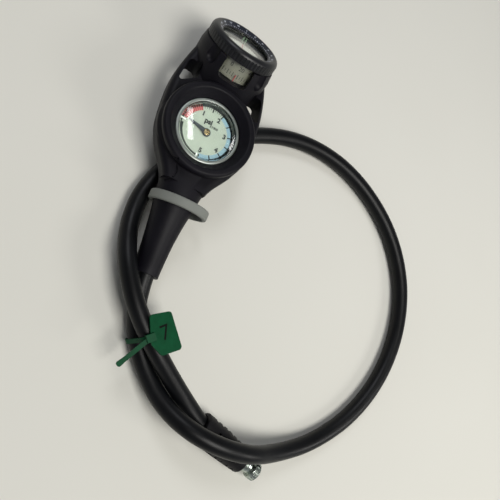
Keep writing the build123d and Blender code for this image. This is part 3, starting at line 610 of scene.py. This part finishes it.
@dataclass
class PressureDial:
    """The pressure gauge's printing: bands, marks and numerals on the dial."""

    centre_mm: tuple[float, float] = (0.0, 6.6)
    zero: float = 170.0
    full: float = -87.5
    units: int = 5
    band_inner_mm: float = 16.9
    band_outer_mm: float = 21.8
    shade_inner_mm: float = 19.8
    wall_mm: tuple[float, float] = (22.12, 22.17)
    wall_height_mm: float = 2.5
    numeral_radius_mm: float = 14.5
    numeral_size_mm: float = 5.0
    numeral_weight: float = 0.05
    ink_mm: float = 0.03
    lift_mm: float = 0.01
    thin_ink_mm: float = 0.02
    red_mark_mm: float = 0.28
    fine_mark_mm: tuple[float, float] = (3.4, 0.34)
    half_mark_mm: float = 0.95
    last_mark_cut_mm: float = 0.8
    rim_line_mm: float = 0.16
    edge_strip: tuple[float, float] = (351.0, 374.0)  # degrees past full scale and past zero
    unit: tuple[str, float, tuple[float, float]] = ("psi", 5.6, (-1.2, 8.9))
    times: tuple[str, float, tuple[float, float]] = ("x1000", 2.6, (4.2, 6.2))
    times_weight: float = 0.8
    end_mark_mm: Place = (19.6, 4.4, 0.9)
    end_mark_gap: float = 5.0

    def angle(self, value: float) -> float:
        """The dial angle, in degrees, of a reading in thousands."""
        return self.zero + (self.full - self.zero) * value / self.units

    def build(self, finishes: FinishBook) -> None:
        """Prints the dial just above its plate.

        Args:
            finishes: The finish book.
        """
        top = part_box("dial_plate")[1][2] + self.lift_mm * MM
        flat = Matrix.Translation((self.centre_mm[0] * MM, self.centre_mm[1] * MM, top))
        raised = flat @ Matrix.Translation((0, 0, self.ink_mm * MM + self.lift_mm * MM))
        self.print_bands(finishes, flat)
        self.print_marks(finishes, flat, raised)
        self.print_numerals(finishes, flat)
        self.print_end_marks(finishes, raised)

    def print_bands(self, finishes: FinishBook, flat: Matrix) -> None:
        """Prints the red band below 1 and the blue band above 2.

        Args:
            finishes: The finish book.
            flat: The dial's plane.
        """
        inner, outer, ink = self.band_inner_mm * MM, self.band_outer_mm * MM, self.ink_mm * MM
        low = [ring_band(inner, outer, 0, ink, self.angle(1), self.angle(0), flat)]
        new_piece("low_pressure_band", low, finishes.get("ink_red"), Body.CONSOLE)
        full = [ring_band(inner, outer, 0, ink, self.angle(5), self.angle(2), flat, 96)]
        new_piece("working_band", full, finishes.get("ink_blue"), Body.CONSOLE)

    def print_marks(self, finishes: FinishBook, flat: Matrix, raised: Matrix) -> None:
        """Prints the scale's marks, a dark strip of painted shade along its edge and a grey film of painted
        shade on the case's wall.

        Args:
            finishes: The finish book.
            flat: The dial's plane.
            raised: The plane on top of the bands' ink.
        """
        inner, outer, ink = self.band_inner_mm * MM, self.band_outer_mm * MM, self.ink_mm * MM
        thin = self.thin_ink_mm * MM
        per_unit = (self.full - self.zero) / self.units
        middle = (inner + outer) / 2
        pale, black = finishes.get("ink_light_red"), finishes.get("ink_black")
        fine_red = MarkRing(9, middle, outer - inner, self.red_mark_mm * MM, thin, self.angle(0.1),
                            per_unit / 10)
        new_piece("low_pressure_marks", [fine_red.make(pale, raised)], pale, Body.CONSOLE)
        length, width = self.fine_mark_mm
        fine = MarkRing(9, outer - length / 2 * MM, length * MM, width * MM, thin, self.angle(1.1),
                        per_unit / 10)
        width, cut = self.half_mark_mm * MM, self.last_mark_cut_mm
        half = MarkRing(7, middle, outer - inner, width, ink, self.angle(1.5), per_unit / 2)
        last = MarkRing(1, middle + cut / 2 * MM, outer - inner - cut * MM, width, ink, self.angle(5), 1.0)
        rim = ring_band(outer, outer + self.rim_line_mm * MM, 0, ink, self.angle(2), self.angle(1), flat)
        marks = [ring.make(black, raised) for ring in (fine, half, last)]
        new_piece("dial_marks", marks + [rim], black, Body.CONSOLE)
        # A dark strip over the scale's outer rim, in the dark anodised colour: painted shade beside the case's
        # wall.
        strip = ring_band(self.shade_inner_mm * MM, outer, 0, ink, self.full + self.edge_strip[0],
                          self.zero + self.edge_strip[1], flat)
        new_piece("dial_rim_painted_shade", [strip], finishes.get("dark_anodised_and_rim_shade"), Body.CONSOLE)
        near, far = self.wall_mm
        # A thin grey film on the case's wall round the dial: painted shade.
        wall = ring_band(near * MM, far * MM, 0, self.wall_height_mm * MM, 0.0, FULL_TURN, flat, 120)
        new_piece("dial_wall_shade_film", [wall], finishes.get("dial_wall_painted_shade"), Body.CONSOLE)

    def print_numerals(self, finishes: FinishBook, flat: Matrix) -> None:
        """Prints the numerals and the unit.

        Args:
            finishes: The finish book.
            flat: The dial's plane.
        """
        ink, radius = self.ink_mm * MM, self.numeral_radius_mm * MM
        texts = []
        for value in range(1, self.units + 1):
            angle = math.radians(self.angle(value))
            spot = Matrix.Translation((radius * math.cos(angle), radius * math.sin(angle), ink))
            texts.append(lettering(str(value), self.numeral_size_mm * MM, ink / 2, flat @ spot,
                                   self.numeral_weight))
        for (text, size, (x, y)), share in ((self.unit, 1.0), (self.times, self.times_weight)):
            spot = Matrix.Translation((x * MM, y * MM, ink))
            texts.append(lettering(text, size * MM, ink / 2, flat @ spot, self.numeral_weight * share))
        new_piece("dial_numerals", texts, finishes.get("ink_black"), Body.CONSOLE)

    def print_end_marks(self, finishes: FinishBook, raised: Matrix) -> None:
        """Prints the white marks just before zero and just past full scale.

        Args:
            finishes: The finish book.
            raised: The plane on top of the bands' ink.
        """
        white = finishes.get("ink_white")
        radius, length, width = (size * MM for size in self.end_mark_mm)
        ends = [MarkRing(1, radius, length, width, self.ink_mm * MM, angle, 1.0).make(white, raised)
                for angle in (self.zero + self.end_mark_gap, self.full - self.end_mark_gap)]
        new_piece("dial_end_marks", ends, white, Body.CONSOLE)


@dataclass
class CompassPrinting:
    """The compass's printing: the bezel's scale, the card's floor and wall, and its side-read skirt."""

    origin_mm: Place = (0.0, 82.2, 49.7)
    tilt: float = 37.4
    scale_inner_mm: float = 20.3
    scale_outer_mm: float = 24.0
    face_drop_mm: float = 2.6
    opening_mm: float = 19.8
    land_radius_mm: float = 24.15
    capsule_radius_mm: float = 25.3
    card_depth_mm: float = 10.0
    card_rim_mm: float = 6.4
    card_radius_mm: float = 23.4
    card_wall_mm: float = 0.5
    floor_shade_mm: float = 16.8
    skirt_span_mm: tuple[float, float] = (10.4, 23.5)
    scale_numeral_mm: float = 22.7
    scale_rows_mm: Sequence[tuple[int, float, float, float]] = ((72, 20.8, 0.6, 0.25), (12, 20.9, 0.8, 0.8))
    rib_count: int = 60
    rib_radius_mm: float = 28.3
    rib_span_mm: tuple[float, float] = (-8.9, -2.9)
    numeral_depth_mm: float = 13.5
    tick_depth_mm: float = 19.6
    north: float = 84.0
    reading_side: float = -103.0
    reading_step: int = 20
    ring_film_mm: tuple[float, float] = (0.01, 0.05)
    scale_ink_mm: tuple[float, float] = (0.06, 0.03)
    scale_text_mm: Place = (0.08, 1.7, 0.02)
    scale_text_step: int = 20
    rib_mm: tuple[float, float] = (0.7, 0.55)
    floor_ink_mm: float = 0.06
    floor_mark_mm: tuple[float, float, float, float] = (1.0, 1.2, 0.3, 0.04)
    skirt_film_mm: tuple[float, float] = (0.01, 0.04)
    skirt_ink_mm: float = 0.07
    skirt_rows_mm: Sequence[tuple[int, float, float, float]] = ((72, 0.06, 0.35, 2.2), (36, 0.08, 0.5, 3.6))
    skirt_text_mm: tuple[float, float] = (4.2, 0.03)
    skirt_text_weight: float = 0.02
    wall_film_mm: tuple[float, float] = (0.08, 0.02)
    floor_film_mm: tuple[float, float] = (0.02, 0.05)
    film_gap_mm: float = 0.1
    stroke_film_mm: float = 0.16
    stroke_half: float = 1.1
    stroke_apart: float = 3.0
    stroke_mm: Place = (0.4, 0.7, 0.04)
    pointer_mm: tuple[float, float, float, float] = (9.0, 15.0, 0.9, 0.05)
    index_film_mm: tuple[float, float] = (0.01, 0.06)
    index_span_mm: tuple[float, float] = (-23.6, -18.4)
    index_side: tuple[float, float] = (-88.4, -86.8)

    def axis(self) -> Matrix:
        """The compass's own frame: X across, Z out of its face."""
        tilt = math.radians(self.tilt)
        out = Vector((0, math.sin(tilt), math.cos(tilt)))
        across = Vector((1, 0, 0))
        matrix = Matrix((across, out.cross(across), out)).transposed().to_4x4()
        matrix.translation = Vector(self.origin_mm) * MM
        return matrix

    def face_level(self, radius_mm: float) -> float:
        """The sloping face's level at a radius, in millimetres."""
        share = (self.land_radius_mm - radius_mm) / (self.land_radius_mm - self.opening_mm)
        return -self.face_drop_mm * share

    def sloping_ring(self, steps: int = 144) -> Shape:
        """The print's thin closed ring on the sloping face.

        Args:
            steps: Number of divisions.

        Returns:
            The ring's points and faces.
        """
        axis = self.axis()
        points: list[Vector] = []
        faces: list[tuple[int, ...]] = []
        low, high = self.ring_film_mm
        for i in range(steps):
            angle = math.tau * i / steps
            for radius, lift in ((self.scale_inner_mm, low), (self.scale_outer_mm, low),
                                 (self.scale_outer_mm, high), (self.scale_inner_mm, high)):
                level = self.face_level(radius) + lift
                spot = Vector((radius * math.cos(angle), radius * math.sin(angle), level))
                points.append(axis @ (spot * MM))
            for k in range(4):
                a, b = 4 * i + k, 4 * i + (k + 1) % 4
                faces.append((a, b, (b + 4) % (4 * steps), (a + 4) % (4 * steps)))
        return points, faces

    def build_scale(self, finishes: FinishBook) -> None:
        """Prints the bezel's degree scale on its sloping face.

        Args:
            finishes: The finish book.
        """
        axis = self.axis()
        new_piece("bezel_scale_ring", [self.sloping_ring()], finishes.get("bezel_scale_print"), Body.BEZEL)
        white = finishes.get("ink_bezel")
        slope = math.atan2(self.face_drop_mm, self.land_radius_mm - self.opening_mm)
        marks = []
        lift, ink = self.scale_ink_mm
        for count, radius, length, width in self.scale_rows_mm:
            level = axis @ Matrix.Translation((0, 0, (self.face_level(radius) + lift) * MM))
            ring = MarkRing(count, radius * MM, length * MM, width * MM, ink * MM, lean=-math.degrees(slope))
            marks.append(ring.make(white, level))
        lift, size, ink = self.scale_text_mm
        radius = self.scale_numeral_mm
        spot = Matrix.Translation((0, radius * MM, (self.face_level(radius) + lift) * MM))
        lean = Matrix.Rotation(slope, 4, "X")
        for degrees in range(0, 360, self.scale_text_step):
            turn = Matrix.Rotation(math.radians(-degrees), 4, "Z")
            marks.append(lettering(str(degrees), size * MM, ink * MM, axis @ turn @ spot @ lean))
        new_piece("bezel_scale_marks", marks, white, Body.BEZEL)

    def card_floor(self) -> Matrix:
        """The plane of the print on the card's floor."""
        return self.axis() @ Matrix.Translation((0, 0, (-self.card_depth_mm + self.floor_ink_mm) * MM))

    def build_card(self, finishes: FinishBook) -> None:
        """Grounds the card's skirt in a colour darkened with painted shade, and marks its floor and skirt.

        Args:
            finishes: The finish book.
        """
        axis = self.axis()
        black = finishes.get("ink_black")
        inset, length, width, ink = self.floor_mark_mm
        radius = self.floor_shade_mm - inset
        on_floor = MarkRing(36, radius * MM, length * MM, width * MM, ink * MM, self.north)
        marks = [on_floor.make(black, self.card_floor())]
        near, far = self.skirt_film_mm
        high, low = self.skirt_span_mm
        # The skirt's ground: the card's print darkened with painted shade of the boot's well.
        side = [ring_band((self.card_radius_mm + near) * MM, (self.card_radius_mm + far) * MM, -low * MM,
                          -high * MM, 0.0, FULL_TURN, axis, 120)]
        new_piece("card_skirt_shaded_ground", side, finishes.get("card_skirt_print_in_painted_shade"), Body.CARD)
        edge = self.card_radius_mm + self.skirt_ink_mm
        skirt = axis @ Matrix.Translation((0, 0, -self.tick_depth_mm * MM))
        for count, depth, width, height in self.skirt_rows_mm:
            ring = MarkRing(count, edge * MM, depth * MM, width * MM, height * MM, self.reading_side)
            marks.append(ring.make(black, skirt))
        size, ink = self.skirt_text_mm
        stand = Matrix.Translation((edge * MM, 0, -self.numeral_depth_mm * MM))
        face = Matrix.Rotation(math.radians(90), 4, "Z") @ Matrix.Rotation(math.radians(90), 4, "X")
        for reading in range(0, 360, self.reading_step):
            turn = Matrix.Rotation(math.radians(self.reading_side + reading), 4, "Z")
            marks.append(lettering(str(reading), size * MM, ink * MM, axis @ turn @ stand @ face,
                                   self.skirt_text_weight))
        new_piece("card_marks", marks, black, Body.CARD)

    def build_card_lining(self, finishes: FinishBook) -> None:
        """Lines the card's wall and the edge of its floor, and draws the north strokes and pointer.

        Args:
            finishes: The finish book.
        """
        axis, floor = self.axis(), self.card_floor()
        inner = self.card_radius_mm - self.card_wall_mm
        shade, gap = self.floor_shade_mm, self.film_gap_mm
        near, far = self.wall_film_mm
        low, high = self.floor_film_mm
        liner = [ring_band((inner - near) * MM, (inner - far) * MM, (-self.card_depth_mm + high) * MM,
                           -self.card_rim_mm * MM, 0.0, FULL_TURN, axis, 120),
                 ring_band(shade * MM, (inner - gap) * MM, (-self.card_depth_mm + low) * MM,
                           (-self.card_depth_mm + high) * MM, 0.0, FULL_TURN, axis, 120)]
        new_piece("card_wall_print", liner, finishes.get("dark_anodised_and_rim_shade"), Body.CARD)
        green = finishes.get("luminous_green")
        half, apart = self.stroke_half, self.stroke_apart
        strokes = [ring_band((inner - self.stroke_film_mm) * MM, (inner - gap) * MM,
                             (-self.card_depth_mm + gap) * MM, (-self.card_rim_mm - gap) * MM,
                             angle - half, angle + half, axis, 4)
                   for angle in (self.north - apart, self.north + apart)]
        cut, width, ink = self.stroke_mm
        strokes.append(MarkRing(2, (inner + shade) / 2 * MM, (inner - shade - cut) * MM, width * MM, ink * MM,
                                self.north - apart, 2 * apart).make(green, floor))
        new_piece("north_strokes", strokes, green, Body.CARD)
        pink = finishes.get("ink_pink")
        radius, length, width, ink = self.pointer_mm
        line = MarkRing(1, radius * MM, length * MM, width * MM, ink * MM, self.north, 1.0)
        pointer = [line.make(pink, floor)]
        new_piece("north_pointer", pointer, pink, Body.CARD)

    def build_ribs(self, finishes: FinishBook) -> None:
        """Adds the fine ribs that stand between the bezel's moulded ones.

        Args:
            finishes: The finish book.
        """
        nylon = finishes.get("bezel_nylon")
        low, high = self.rib_span_mm
        level = self.axis() @ Matrix.Translation((0, 0, (low + high) / 2 * MM))
        length, width = self.rib_mm
        ribs = MarkRing(self.rib_count, self.rib_radius_mm * MM, length * MM, width * MM, (high - low) * MM)
        new_piece("bezel_fine_ribs", [ribs.make(nylon, level)], nylon, Body.BEZEL)

    def build_index(self, finishes: FinishBook) -> None:
        """Paints the reading mark on the capsule at the side window.

        Args:
            finishes: The finish book.
        """
        radius = self.capsule_radius_mm
        near, far = self.index_film_mm
        low, high = self.index_span_mm
        line = [ring_band((radius + near) * MM, (radius + far) * MM, low * MM, high * MM, *self.index_side,
                          self.axis(), 2)]
        new_piece("reading_mark", line, finishes.get("ink_red"), Body.CONSOLE)


@dataclass
class MarkerNumeral:
    """A plain numeral drawn on the tie's flag with a felt marker."""

    text: str = "7"
    size_mm: float = 15.0
    tie_centre_mm: Place = (16.95, -145.5, 15.8)
    direction: float = -50.9
    slope: float = 12.0
    head_mm: tuple[float, float] = (1.21, 13.94)
    head_lift_mm: float = 1.6
    thickness_mm: float = 1.1
    spot_mm: tuple[float, float] = (0.5, 10.8)
    ink_mm: tuple[float, float] = (0.03, 0.02)

    def build(self, finishes: FinishBook) -> bpy.types.Object:
        """Draws the numeral just above the flag.

        Args:
            finishes: The finish book.

        Returns:
            The numeral.
        """
        centre = Matrix.Translation(Vector(self.tie_centre_mm) * MM)
        turn = Matrix.Rotation(math.radians(self.direction), 4, "Z")
        head = Matrix.Translation((0, self.head_mm[0] * MM, (self.head_mm[1] + self.head_lift_mm) * MM))
        lean = Matrix.Rotation(math.radians(-self.slope), 4, "X")
        x, y = self.spot_mm
        lift, ink = self.ink_mm
        spot = Matrix.Translation((x * MM, y * MM, (self.thickness_mm + lift) * MM))
        face = Matrix.Rotation(math.radians(90), 4, "Z")
        shape = lettering(self.text, self.size_mm * MM, ink * MM, centre @ turn @ head @ lean @ spot @ face)
        return new_piece("flag_numeral", [shape], finishes.get("ink_marker"), Body.CONSOLE)


@dataclass
class NodeDressing:
    """Which finish each kept CAD node gets."""

    table: dict[str, tuple[str, ...]] = field(default_factory=lambda: {
        "boot_nitrile_rubber": ("console_boot",),
        "band_grey_rubber": ("retaining_band",),
        "protector_rubber": ("hose_protector",),
        "seal_nitrile": ("lens_gasket", "relief_plug", "spool_o_rings", "fitting_seal"),
        "chromium_plate": ("gauge_case", "hose_nut", "hose_ferrule", "far_ferrule", "hose_end_fitting"),
        "satin_chromium_ring": ("gauge_bezel_ring",),
        "turned_brass": ("pinion_arbor", "sector_gear", "sector_arbor", "link", "gauge_socket",
                         "movement_back_plate", "movement_front_plate", "movement_pillars"),
        "phosphor_bronze": ("hairspring", "bourdon_tube"),
        "turned_steel": ("swivel_spool", "bezel_snap_ring", "pivot_pin"),
        "magnet_alloy": ("card_magnet",),
        "needle_cap_copper": ("needle_hub_cap",),
        "lens_acrylic": ("gauge_lens",),
        "capsule_polycarbonate": ("compass_capsule",),
        "jewel_ruby": ("jewel_cup",),
        "dial_luminous_print": ("dial_plate",),
        "dark_anodised_and_rim_shade": ("dial_spacer",),
        "needle_enamel": ("needle", "zero_stop_pin"),
        "bezel_nylon": ("compass_bezel",),
        "base_nylon": ("capsule_base", "filler_plug"),
        "card_polyester": ("compass_card",),
        "tie_green_nylon": ("marker_tie",),
    })

    def build(self, finishes: FinishBook) -> None:
        """Gives every kept node its finish.

        Args:
            finishes: The finish book.
        """
        for name, nodes in self.table.items():
            for node_name in nodes:
                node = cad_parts[node_name]
                node.data.materials.clear()
                node.data.materials.append(finishes.get(name))
                LOG.info("%s: %s", node_name, name)


@dataclass
class Studio:
    """A plain pale floor in a room with pale walls and a dim ceiling, lit softly from the right."""

    floor_size: float = 3.0
    wall: str = "#dfe1e4"
    wall_strength: float = 0.5
    ceiling_strength: float = 0.12
    fade: tuple[float, float] = (0.15, 0.75)
    aim: Place = (0.08, -0.05, 0.0)
    areas: Sequence[tuple[str, Place, float, float, str]] = (
        ("key_top", (0.40, -0.38, 1.30), 0.6, 12.5, "#fffdf8"),
        ("side_right", (1.20, -0.35, 0.80), 0.35, 4.0, "#fffdf8"),
        ("fill_back", (-0.45, 0.80, 1.20), 0.5, 5.0, "#f8faff"),
    )
    streaks: Sequence[tuple[str, Place, float, float, float, float]] = (
        ("streak_left", (0.196, 0.522, 1.1), 0.018, 0.10, 22.0, 0.035),
        ("streak_right", (0.345, 0.555, 1.1), 0.010, 0.09, -5.0, 0.02),
    )

    def area(self, name: str, place: Place, size: float, watts: float, colour: str) -> None:
        """Adds a square soft light that looks at the object.

        Args:
            name: The light's name.
            place: Where it is.
            size: Its side.
            watts: Its power.
            colour: Its colour.
        """
        data = bpy.data.lights.new(name, "AREA")
        data.energy, data.size, data.color = watts, size, linear(colour)[:3]
        light = bpy.data.objects.new(name, data)
        bpy.context.scene.collection.objects.link(light)
        aim = Vector(self.aim) - Vector(place)
        light.matrix_world = Matrix.Translation(place) @ aim.to_track_quat("-Z", "Y").to_matrix().to_4x4()

    def streak(self, name: str, place: Place, width: float, length: float, turn: float,
               watts: float) -> None:
        """Adds a narrow light that looks straight down and shows as a streak in the gauge's lens.

        Args:
            name: The light's name.
            place: Where it is.
            width: Its size across.
            length: Its size along.
            turn: Its turn about Z in degrees.
            watts: Its power.
        """
        data = bpy.data.lights.new(name, "AREA")
        data.shape, data.size, data.size_y, data.energy = "RECTANGLE", width, length, watts
        light = bpy.data.objects.new(name, data)
        light.location = place
        light.rotation_euler = (0.0, 0.0, math.radians(turn))
        bpy.context.scene.collection.objects.link(light)

    def room(self) -> None:
        """Makes the world: pale walls at the horizon that fade to a dim ceiling overhead."""
        world = bpy.data.worlds.new("studio")
        world.use_nodes = True
        tree = world.node_tree
        background = tree.nodes["Background"]
        background.inputs["Color"].default_value = linear(self.wall)
        place = add_node(tree, "ShaderNodeTexCoord")
        split = add_node(tree, "ShaderNodeSeparateXYZ", links={0: place.outputs["Generated"]})
        fade = add_node(tree, "ShaderNodeMapRange", {
            "interpolation_type": "SMOOTHSTEP", "From Min": self.fade[0], "From Max": self.fade[1],
            "To Min": self.wall_strength, "To Max": self.ceiling_strength,
        }, {"Value": split.outputs["Z"]})
        tree.links.new(fade.outputs[0], background.inputs["Strength"])
        bpy.context.scene.world = world

    def build(self, finishes: FinishBook) -> None:
        """Makes the floor, the lights and the world.

        Args:
            finishes: The finish book.
        """
        half = self.floor_size / 2
        mesh = bpy.data.meshes.new("floor")
        corners = [(-half, -half, 0), (half, -half, 0), (half, half, 0), (-half, half, 0)]
        mesh.from_pydata(corners, [], [(0, 1, 2, 3)])
        mesh.materials.append(finishes.get("floor_paper"))
        floor = bpy.data.objects.new("floor", mesh)
        bpy.context.scene.collection.objects.link(floor)
        for name, place, size, watts, colour in self.areas:
            self.area(name, place, size, watts, colour)
        for name, place, width, length, turn, watts in self.streaks:
            self.streak(name, place, width, length, turn, watts)
        self.room()
        bpy.context.scene.view_settings.view_transform = "Standard"


def main() -> None:
    """Builds the console's dressing in order."""
    logging.basicConfig(level=logging.INFO, format="%(message)s")
    finishes = FinishBook()
    StudioCamera().build()
    numeral = MarkerNumeral().build(finishes)
    on_hose = [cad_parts[name] for name in
               ("hose_protector", "far_ferrule", "hose_end_fitting", "fitting_seal", "marker_tie")]
    HoseRun().build(finishes, on_hose + [numeral])
    NodeDressing().build(finishes)
    PressureDial().build(finishes)
    compass = CompassPrinting()
    compass.build_scale(finishes)
    compass.build_ribs(finishes)
    compass.build_card(finishes)
    compass.build_card_lining(finishes)
    compass.build_index(finishes)
    Studio().build(finishes)


if __name__ == "__main__":
    main()
